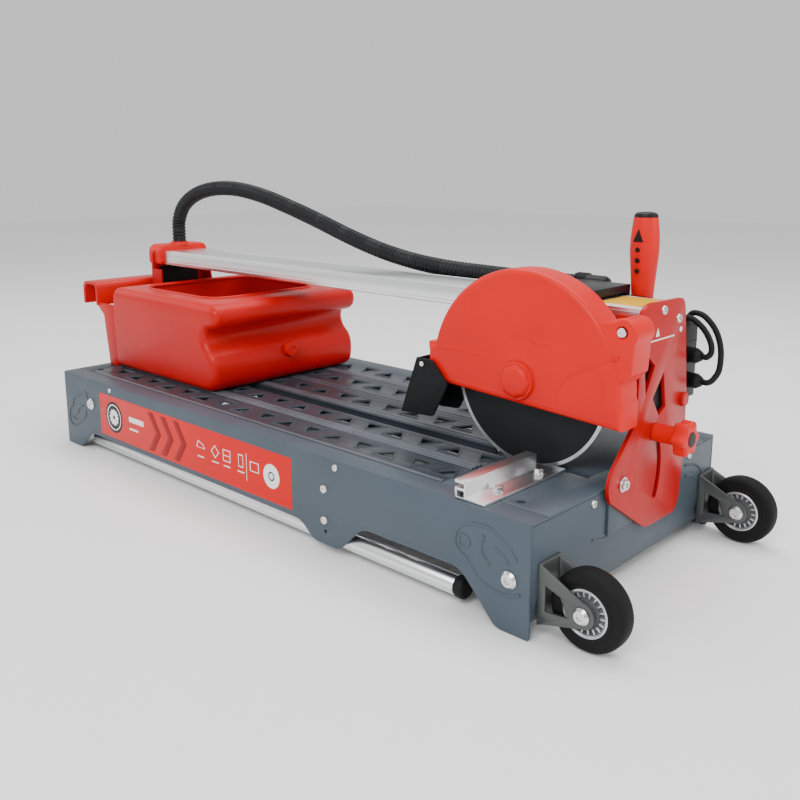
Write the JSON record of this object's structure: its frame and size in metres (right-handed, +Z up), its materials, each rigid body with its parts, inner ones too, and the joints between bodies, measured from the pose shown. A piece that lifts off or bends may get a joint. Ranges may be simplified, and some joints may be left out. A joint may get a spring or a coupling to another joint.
{
  "type": "wet tile saw",
  "caption": "Portable electric wet tile saw: sliding, tilting head on a rail over a folding-leg base with a water tank and wheels.",
  "frame": {"origin": "centre of the bounding box on the floor", "axes": "+X along the guide rail towards the wheels, +Y away from the blade side, +Z up"},
  "size_m": [1.064, 0.394, 0.4176],
  "materials": {
    "base_paint": "satin powder coat",
    "aluminium": "satin extruded",
    "steel": "zinc plated",
    "blade_steel": "ground, bright rim",
    "dark_paint": "satin powder coat",
    "fork_metal": "satin",
    "tyre": "matte",
    "hub_plastic": "satin",
    "black_rubber": "matte",
    "black_plastic": "fine grain",
    "motor_metal": "satin",
    "red_paint": "gloss powder coat",
    "red_plastic": "semi-gloss moulded"
  },
  "bodies": {
    "base": {"near_side_panel": "base_paint", "far_side_panel": "base_paint", "right_end_panel": "base_paint", "left_end_panel": "base_paint", "right_deck_plate": "base_paint", "left_deck_plate": "base_paint", "near_deck_plank": "base_paint", "middle_deck_plank": "base_paint", "far_deck_plank": "base_paint", "fence_rail": "aluminium", "near_fence_bolt": "steel", "far_fence_bolt": "steel", "right_pivot_stand": "dark_paint", "left_pivot_stand": "dark_paint", "right_pivot_bolt": "steel", "left_pivot_bolt": "steel", "left_leg_rod": "steel", "right_leg_rod": "steel", "near_wheel_fork": "fork_metal", "near_wheel_axle": "steel", "far_wheel_fork": "fork_metal", "far_wheel_axle": "steel"},
    "near_wheel": {"near_tyre": "tyre", "near_wheel_hub": "hub_plastic"},
    "far_wheel": {"far_tyre": "tyre", "far_wheel_hub": "hub_plastic"},
    "left_legs": {"left_leg_frame": "aluminium", "left_leg_near_foot": "black_rubber", "left_leg_far_foot": "black_rubber"},
    "right_legs": {"right_leg_frame": "aluminium", "right_leg_near_foot": "black_rubber", "right_leg_far_foot": "black_rubber"},
    "bridge": {"guide_rail": "aluminium", "right_tower": "red_paint", "left_tower": "red_paint", "left_rail_cap": "red_plastic", "hose": "black_plastic"},
    "right_clamp": {"right_clamp_knob": "red_plastic"},
    "left_clamp": {"left_clamp_knob": "red_plastic"},
    "carriage": {"carriage_housing": "dark_paint", "motor_housing": "motor_metal", "motor_fan_cover": "black_plastic", "guard_shell": "red_plastic", "guard_bolt": "steel", "switch_box": "black_plastic", "upper_gland": "black_plastic", "lower_gland": "black_plastic", "upper_cable": "black_rubber", "lower_cable": "black_rubber", "handle_grip": "red_plastic", "hose_gland": "black_plastic"},
    "left_track_roller": {"left_roller": "steel"},
    "right_track_roller": {"right_roller": "steel"},
    "blade": {"saw_blade": "blade_steel", "blade_flange": "steel", "motor_rotor": "steel"},
    "flap": {"splash_flap": "black_rubber"},
    "switch": {"rocker_switch": "red_plastic"},
    "tank": {"water_tank": "red_plastic"},
    "plug": {"drain_plug": "red_plastic"}
  },
  "joints": [
    {"name": "near_wheel_spin", "type": "hinge", "parent": "base", "child": "near_wheel", "pos_m": [0.492, -0.163, 0.04], "axis": [0, 1, 0], "continuous": true},
    {"name": "far_wheel_spin", "type": "hinge", "parent": "base", "child": "far_wheel", "pos_m": [0.492, 0.175, 0.04], "axis": [0, 1, 0], "continuous": true},
    {"name": "left_legs_fold", "type": "hinge", "parent": "base", "child": "left_legs", "pos_m": [-0.385, 0, 0.078], "axis": [0, 1, 0], "range_deg": [0, 90]},
    {"name": "right_legs_fold", "type": "hinge", "parent": "base", "child": "right_legs", "pos_m": [0.419, 0, 0.0555], "axis": [0, -1, 0], "range_deg": [0, 90]},
    {"name": "bridge_tilt", "type": "hinge", "parent": "base", "child": "bridge", "pos_m": [-0.013, -0.042, 0.119], "axis": [1, 0, 0], "range_deg": [0, 45]},
    {"name": "right_clamp_turn", "type": "hinge", "parent": "base", "child": "right_clamp", "pos_m": [0.463, 0.023, 0.1612], "axis": [1, 0, 0], "range_deg": [0, 270]},
    {"name": "left_clamp_turn", "type": "hinge", "parent": "base", "child": "left_clamp", "pos_m": [-0.489, 0.023, 0.1612], "axis": [-1, 0, 0], "range_deg": [0, 270]},
    {"name": "carriage_slide", "type": "slide", "parent": "bridge", "child": "carriage", "axis": [1, 0, 0], "range_m": [-0.265, 0], "deforming": ["hose"]},
    {"name": "left_roller_spin", "type": "hinge", "parent": "carriage", "child": "left_track_roller", "pos_m": [0.291, 0.032, 0.266], "axis": [0, 1, 0], "range_deg": [0, 1690]},
    {"name": "right_roller_spin", "type": "hinge", "parent": "carriage", "child": "right_track_roller", "pos_m": [0.369, 0.032, 0.266], "axis": [0, 1, 0], "range_deg": [0, 1690]},
    {"name": "blade_spin", "type": "hinge", "parent": "carriage", "child": "blade", "pos_m": [0.331, -0.042, 0.2115], "axis": [0, 1, 0], "continuous": true},
    {"name": "flap_swing", "type": "hinge", "parent": "carriage", "child": "flap", "pos_m": [0.196, -0.045, 0.2125], "axis": [0, 1, 0], "range_deg": [0, 45]},
    {"name": "switch_rock", "type": "hinge", "parent": "carriage", "child": "switch", "pos_m": [0.401, 0.136, 0.259], "axis": [0, 1, 0], "range_deg": [0, 16]},
    {"name": "tank_slide", "type": "slide", "parent": "base", "child": "tank", "axis": [0, 1, 0], "range_m": [-0.3, 0]},
    {"name": "plug_pull", "type": "slide", "parent": "tank", "child": "plug", "axis": [1, 0, 0], "range_m": [0, 0.05]}
  ],
  "couplings": [
    {"joint": "left_roller_spin", "follows": "carriage_slide", "rad_per_m": -111.1},
    {"joint": "right_roller_spin", "follows": "carriage_slide", "rad_per_m": -111.1}
  ]
}
